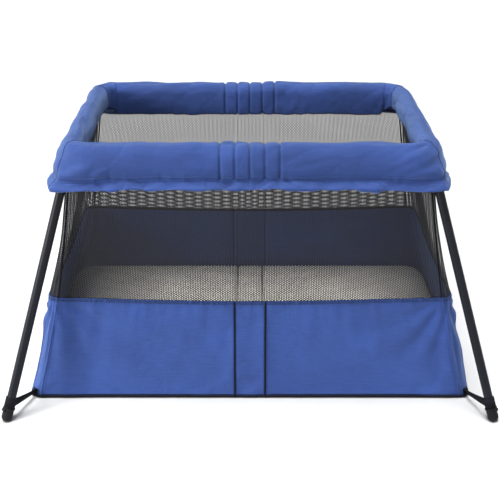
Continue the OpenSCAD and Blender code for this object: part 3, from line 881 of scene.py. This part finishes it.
# Section of the cover as (outward, up, further out at a corner) from the rail's centre line, in mm:
# over the roll, down to its bottom seam, along the flared flap, back up inside, under the foam, and
# down and up the inner face
COVER_OUTSIDE = [(0, 24, 0), (12, 22, 0), (20, 15.5, 0), (26, 6, 1), (29.5, -6, 2), (31.5, -19, 4),
                 (31.5, -30, 6), (29.5, -40, 7), (26, -47.5, 8), (28.5, -53, 7), (35.5, -59.5, 5),
                 (42.5, -65.5, 4)]
COVER_LINING = [(40.5, -67, 4), (33, -60, 5), (25, -53, 7), (22, -44, 7), (22.5, -30, 4),
                (17, -20, 2), (9, -17.8, 1), (0, -17.2, 0), (-9, -17.8, 0), (-15, -20, 0),
                (-18, -30, 0), (-18.5, -40, 0), (-18.5, -50, 0)]
COVER_INSIDE = [(-20.5, -54.5, 0), (-23.5, -52.5, 0), (-24.5, -47, 0), (-26.5, -38, 0), (-27, -22, 0),
                (-26.5, -4, 0), (-24.5, 7, 0), (-19.5, 16, 0), (-11, 22.3, 1)]
# Rows of the finer section: three for each point above, counted from the top of the roll
ROW_STEPS = 3
SEAM_ROW = ROW_STEPS * 8
LINING_ROW = ROW_STEPS * len(COVER_OUTSIDE)
INSIDE_ROW = LINING_ROW + ROW_STEPS * len(COVER_LINING)
LAST_ROW = INSIDE_ROW + ROW_STEPS * len(COVER_INSIDE)
STITCH_ROWS = (SEAM_ROW - 3, SEAM_ROW + 3)
DARK_CORD_ROW = INSIDE_ROW + 2
WELT_ROWS = np.r_[INSIDE_ROW + 3:LAST_ROW, 0:LINING_ROW - 1]
# Sewn channels across the middle of the long sides
CHANNEL_PITCH, GROOVE_DEPTH, GROOVE_WIDTH = 32 * MM, 4.0 * MM, 3.0 * MM


def smooth_loop(points, steps):
    """A closed smooth curve through the points."""
    p = np.array(points, float)
    before, after, later = np.roll(p, 1, 0), np.roll(p, -1, 0), np.roll(p, -2, 0)
    curve = []
    for share in np.arange(steps) / steps:
        square, cube = share ** 2, share ** 3
        curve.append(0.5 * ((2 * p) + (after - before) * share
                            + (2 * before - 5 * p + 4 * after - later) * square
                            + (3 * p - before - 3 * after + later) * cube))
    return np.stack(curve, 1).reshape(-1, p.shape[1])


def rail_path(side):
    """Plan points and outward normals along one half of the rail, from x = 0 to x = 0."""
    straight_x, straight_y = RAIL_X - RAIL_BEND, RAIL_Y - RAIL_BEND
    channels_end, bend_steps = 78 * MM, 24
    long_x = np.concatenate([np.linspace(0, channels_end, 50)[:-1],
                             np.linspace(channels_end, straight_x, 76)[:-1]])

    def bend(start, centre_y):
        turns = np.radians(start + 90 * np.arange(bend_steps) / bend_steps)
        return [(straight_x + RAIL_BEND * math.cos(a), centre_y + RAIL_BEND * math.sin(a),
                 math.cos(a), math.sin(a)) for a in turns]

    rows = [(x, -RAIL_Y, 0, -1) for x in long_x] + bend(-90, -straight_y)
    rows += [(RAIL_X, y, 1, 0) for y in np.linspace(-straight_y, straight_y, 112)[:-1]]
    rows += bend(0, straight_y) + [(straight_x, RAIL_Y, 0, 1)]
    rows += [(x, RAIL_Y, 0, 1) for x in long_x[::-1]]
    return np.array(rows, float) * side


def sleeve_form(path, section, near):
    """The sleeve without its folds: the section along the path, with the corners' and ends' own shape."""
    out, up, flare = section.T
    at_end = np.abs(path[:, 2:3])
    outer, inner = out > 10 * MM, out < 0
    wider = np.interp(-up, [-10 * MM, 10 * MM, 45 * MM, 66 * MM], [0, 2 * MM, 8 * MM, 10 * MM])
    wider = np.where(inner, -0.22 * out, wider * np.clip(out / (20 * MM), 0, 1))
    tuck = inner * 9 * MM * np.clip((-up - 14 * MM) / (30 * MM), 0, 1)
    hanging = outer * np.clip((-up - 20 * MM) / (30 * MM), 0, 1)
    pointed = 1 / np.abs(path[:, 2:4]).max(1, keepdims=True) - 1
    near = near[:, None]
    reach = out + flare * near + wider * at_end + tuck * at_end * (1 - near)
    reach = reach + 0.55 * pointed * hanging * (RAIL_BEND + out)
    short = inner * 0.7 * np.clip(-up - 22 * MM, 0, 1)
    droop = np.interp(np.arange(len(section)), [6, 24, 36, 42, 60], [0, 2 * MM, 3 * MM, 3 * MM, 0])
    grid = np.empty((len(path), len(section), 3))
    grid[..., :2] = path[:, None, :2] + path[:, None, 2:4] * reach[..., None]
    grid[..., 2] = RAIL_Z + up - droop * near + short * at_end
    return grid


def sleeve_folds(path, section, near, s, t, seed):
    """How far the folds, dents and channels move each point outward, and how the flap waves."""
    rows = np.arange(len(t))
    out, up, _ = section.T
    u, v = np.meshgrid(s, t, indexing="ij")
    face = np.where((rows >= LINING_ROW) & (rows < INSIDE_ROW), 0.0, 1.0)
    seam_at = t[SEAM_ROW]
    roll = face * (1 / (1 + np.exp((t - seam_at) / (1.5 * MM))) + (rows > LINING_ROW))
    flap = np.clip((t - seam_at) / (14 * MM), 0, 1) * ((rows > SEAM_ROW) & (rows < LINING_ROW + 6))
    on_long_side = np.abs(path[:, 3:4]) > 0.9
    x = path[:, 0:1] * np.ones(len(t))

    move = 2.0 * MM * face * waves(u, v, 0.13, seed)
    move += 0.8 * MM * face * waves(u * 0.7, v * 1.3, 0.05, seed + 1)
    crease = np.clip(1 - np.abs(waves(u * 0.6 + 0.8 * v, v, 0.085, seed + 7)) * 2.2, 0, 1) ** 2
    move -= 1.5 * MM * face * crease
    move += 3.2 * MM * near[:, None] * face * (out > 10 * MM) * waves(u + 0.9 * v, v, 0.040, seed + 2)
    move += 1.5 * MM * face * np.exp(-np.abs(t - seam_at) / (9 * MM)) * waves(u, v * 0.2, 0.019, seed + 3)
    inner_edge = face * np.exp(-np.clip(up + 54 * MM, 0, 1) / (22 * MM)) * (rows > LINING_ROW)
    move += 2.2 * MM * inner_edge * waves(u + 0.5 * v, v * 0.3, 0.030, seed + 8)
    for channel in (-2, -1, 1, 2):
        move -= GROOVE_DEPTH * roll * bump_at(x, channel * CHANNEL_PITCH, GROOVE_WIDTH) * on_long_side
    swell = np.cos(np.pi * x / CHANNEL_PITCH) ** 2 - 0.5
    move -= 0.9 * MM * roll * (np.abs(x) < 2 * CHANNEL_PITCH + 2 * MM) * swell * on_long_side
    move += 4.2 * MM * flap * waves(u + 0.8 * v, v * 0.3, 0.065, seed + 4)
    move += 1.5 * MM * flap * waves(u - 0.6 * v, v * 0.5, 0.026, seed + 5)
    wave = 2.2 * MM * flap * waves(u, v * 0, 0.12, seed + 6)

    still = 1 - bump_at(x, 0, 18 * MM)
    return move * still - GROOVE_DEPTH * roll * bump_at(x, 0, GROOVE_WIDTH), wave * still


def cover_grid(side):
    """Points, normals and lengths of one half of the sleeve, with its channels, seams and folds."""
    path = rail_path(side)
    section = smooth_loop(COVER_OUTSIDE + COVER_LINING + COVER_INSIDE, ROW_STEPS) * MM
    near = near_corner(path[:, :2], 62 * MM)
    s, t = distances(path[:, :2]), distances(section[:, :2])
    grid = sleeve_form(path, section, near)
    around = np.roll(grid, -1, 1) - np.roll(grid, 1, 1)
    normals = unit(np.cross(around, np.gradient(grid, axis=0)))
    seed, shift = (60, 0) if side > 0 else (70, 9)
    move, wave = sleeve_folds(path, section, near, s + shift, t, seed)
    grid = grid + normals * move[..., None]
    grid[..., 2] += wave
    return {"points": grid, "normals": normals, "s": s, "t": t, "path": path}


def build_cover():
    """The padded sleeve in two halves that meet at the middle seam."""
    for name, side in SIDES.items():
        cover = cover_grid(side)
        points, normals = cover["points"], cover["normals"]
        faces = tube_faces(*points.shape[:2])
        uv = uv_grid(cover["s"], cover["t"]).reshape(-1, 2)
        sleeve = make_mesh(f"cover_{name}", points.reshape(-1, 3), faces, uv, "cover_cloth")
        rows = [(points[:, j] + 0.2 * MM * normals[:, j], normals[:, j]) for j in STITCH_ROWS]
        thread = stitches(f"cover_stitches_{name}", rows, "thread")
        # A thin black cord along the inner bottom edge of the sleeve, beside its pinch
        tape = cords(f"cover_dark_cord_{name}", [points[:, DARK_CORD_ROW]], 1.5 * MM, "binding_tape")
        welts = [points[:, SEAM_ROW] - 0.3 * MM * normals[:, SEAM_ROW]]
        welts += [points[k, WELT_ROWS] + 0.2 * MM * normals[k, WELT_ROWS] for k in corner_columns(cover)]
        welt = cords(f"cover_welts_{name}", welts, 0.9 * MM, "thread")
        for piece in (sleeve, thread, tape, welt):
            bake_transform(piece)
        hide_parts(f"rail_cover_{name}", "rail_cover_centre")


def corner_columns(cover):
    """Columns of the sleeve's cross seams: one at the front corner and two at the back one."""
    nx, ny = cover["path"][:, 2], cover["path"][:, 3]
    turn = np.degrees(np.arctan2(np.abs(nx), np.abs(ny)))
    found = []
    for back, angle in ((False, 52), (True, 12), (True, 70)):
        found.append(int(np.argmin(np.abs(turn - angle) + 1000 * ((ny > 0) != back))))
    return found


# ---- foot straps ----

def strap_band(centre, corner, width, thick, twist):
    """The hanging part of a foot strap: a narrowing band with a half twist."""
    count, sag, narrowing = 30, 6 * MM, 0.3
    way = corner - centre
    start = centre + way.normalized() * (TUBE_R + 0.5 * MM)
    level = way.cross(Vector((0, 0, 1))).normalized()
    outer, inner = [], []
    for i in range(count):
        share = i / (count - 1)
        middle = start.lerp(corner, share) - Vector((0, 0, sag * math.cos(math.pi / 2 * share)))
        turn = math.radians(90 - twist * math.sin(math.pi * share / 2))
        across = level * math.cos(turn) + Vector((0, 0, 1)) * math.sin(turn)
        lift = across.cross(way).normalized() * thick / 2
        half = across * (width / 2 * (1 - narrowing * share))
        outer.append([middle + half + lift, middle + lift * 1.3, middle - half + lift])
        inner.append([middle + half - lift, middle - lift * 1.3, middle - half - lift])
    uv = uv_grid(np.linspace(0, way.length, count), [0, width / 2, width])
    return shell_arrays(np.array(outer), np.array(inner), uv)


def strap_loop(centre, leg, width, thick):
    """The loop of a foot strap round its leg."""
    turns, radius = 28, TUBE_R + 0.7 * MM
    across = leg.cross(Vector((0, 0, 1))).normalized()
    other = leg.cross(across).normalized()
    outer, inner = [], []
    for angle in 2 * math.pi * np.arange(turns + 1) / turns:
        spoke = across * math.cos(angle) + other * math.sin(angle)
        levels = [leg * h for h in (-width / 2, 0, width / 2)]
        outer.append([centre + spoke * (radius + thick) + level for level in levels])
        inner.append([centre + spoke * radius + level for level in levels])
    uv = uv_grid(np.linspace(0, 2 * math.pi * TUBE_R, turns + 1), [0, width / 2, width])
    return shell_arrays(np.array(outer), np.array(inner), uv)


def build_straps():
    """Webbing from a loop round each leg to the tub's corner, with a half twist."""
    width, thick, inset = 20 * MM, 1.7 * MM, 13 * MM
    for name, (sx, sy) in CORNERS.items():
        cad = f"foot_strap_{name}"
        pivot = Vector(JOINTS[f"leg_fold_{name}"]["pos_m"])
        leg = (Vector((sx * FOOT_X, sy * FOOT_Y, 0)) - pivot).normalized()
        loop_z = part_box(cad)[1].z - 12.5 * MM
        centre = pivot + leg * ((pivot.z - loop_z) / -leg.z)
        corner = Vector((sx * (FLOOR_X - inset), sy * (FLOOR_Y - inset), inset))
        parts = [strap_band(centre, corner, width, thick, STRAP_TWIST * sx * sy),
                 strap_loop(centre, leg, width, thick)]
        strap = joined_mesh(f"strap_{name}", parts, "webbing")
        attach(strap, f"leg_{name}")
        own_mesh(strap)
        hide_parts(cad)


# ---- studio ----

def area_light(name, place, size, power):
    """A soft rectangular light that points at the yard."""
    middle_of_yard = Vector((0, 0, 0.25))
    data = bpy.data.lights.new(name, "AREA")
    data.shape = "RECTANGLE"
    data.size, data.size_y = size
    data.energy = power
    lamp = new_object(name, data)
    lamp.location = place
    lamp.rotation_euler = (middle_of_yard - Vector(place)).to_track_quat("-Z", "Y").to_euler()


def build_world():
    """A white room, brightest near the horizon."""
    world = bpy.data.worlds.new("studio")
    world.use_nodes = True
    tree = world.node_tree
    background = tree.nodes["Background"]
    background.inputs["Color"].default_value = (1, 1, 1, 1)
    direction = tree.nodes.new("ShaderNodeTexCoord").outputs["Generated"]
    split = tree.nodes.new("ShaderNodeSeparateXYZ")
    height = tree.nodes.new("ShaderNodeMapRange")
    for socket, value in (("From Min", 0.08), ("From Max", 0.55), ("To Min", 0.95), ("To Max", 0.25)):
        height.inputs[socket].default_value = value
    tree.links.new(direction, split.inputs[0])
    tree.links.new(split.outputs["Z"], height.inputs["Value"])
    tree.links.new(height.outputs["Result"], background.inputs["Strength"])
    bpy.context.scene.world = world


def build_studio():
    """Pale floor, a wide soft light overhead, two soft panels and a white room."""
    reach = 40
    ground = [(-reach, -reach, 0), (reach, -reach, 0), (reach, reach, 0), (-reach, reach, 0)]
    make_mesh("studio_floor", ground, [[0, 1, 2, 3]], None, "studio_floor")
    build_world()
    sun = bpy.data.lights.new("high_softbox", "SUN")
    sun.energy, sun.angle = 5.3, math.radians(30)
    lamp = new_object("high_softbox", sun)
    lamp.rotation_euler = Vector((-0.08, -0.02, 1.0)).to_track_quat("Z", "Y").to_euler()
    area_light("side_panel", (-3.2, -2.0, 1.5), (0.8, 1.0), 120)
    area_light("front_fill", (1.6, -3.6, 1.6), (2.0, 1.6), 8)


def build_camera():
    """The photographer's view: in front, above the rail, looking down at the yard."""
    data = bpy.data.cameras.new("camera")
    data.lens = 66.2
    camera = new_object("camera", data)
    camera.location = (0.0, -2.1, 1.24)
    camera.rotation_euler = (math.radians(90 - 25.5), 0, 0)
    bpy.context.scene.camera = camera


build_camera()
build_studio()
bpy.context.scene.view_settings.view_transform = "Standard"
paint_frame()
build_tub()
build_floor()
build_mattress()
build_cover()
build_straps()
